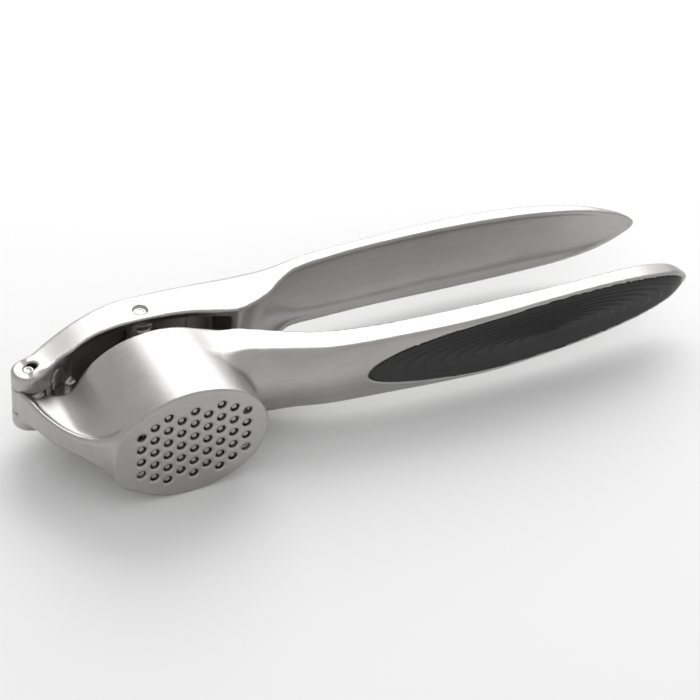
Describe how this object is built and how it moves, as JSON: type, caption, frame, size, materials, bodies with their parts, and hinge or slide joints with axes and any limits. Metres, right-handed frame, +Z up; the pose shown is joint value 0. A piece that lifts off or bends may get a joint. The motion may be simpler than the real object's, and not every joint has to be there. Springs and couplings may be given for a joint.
{
  "type": "garlic press",
  "caption": "Hand-held garlic press with a perforated oval basket, a studded swinging plunger on the upper lever and two dished handles with soft oval grips.",
  "frame": {"origin": "centre of the bounding box at its bottom, the press lying on its side", "axes": "+X along the handles away from the nose, -Y out through the perforated face, +Z up along the hinge axis"},
  "size_m": [0.1878, 0.0506, 0.0322],
  "materials": {
    "cast_metal": "satin",
    "pin_metal": "polished",
    "plunger_metal": "satin",
    "grip": "matte"
  },
  "bodies": {
    "lower": {"lower_lever": "cast_metal", "lower_grip": "grip", "hinge_pin": "pin_metal"},
    "upper": {"upper_lever": "cast_metal", "upper_grip": "grip", "plunger_pin": "pin_metal"},
    "press_plate": {"plunger": "plunger_metal"}
  },
  "joints": [
    {"name": "lever_hinge", "type": "hinge", "parent": "lower", "child": "upper", "pos_m": [-0.08945, 0.00616, 0.0161], "axis": [0, 0, 1], "range_deg": [0, 95]},
    {"name": "plunger_pivot", "type": "hinge", "parent": "upper", "child": "press_plate", "pos_m": [-0.05705, 0.01376, 0.0161], "axis": [0, 0, 1], "range_deg": [-38.1, 0]}
  ],
  "couplings": [
    {"joint": "plunger_pivot", "follows": "lever_hinge", "ratio": -0.4}
  ]
}
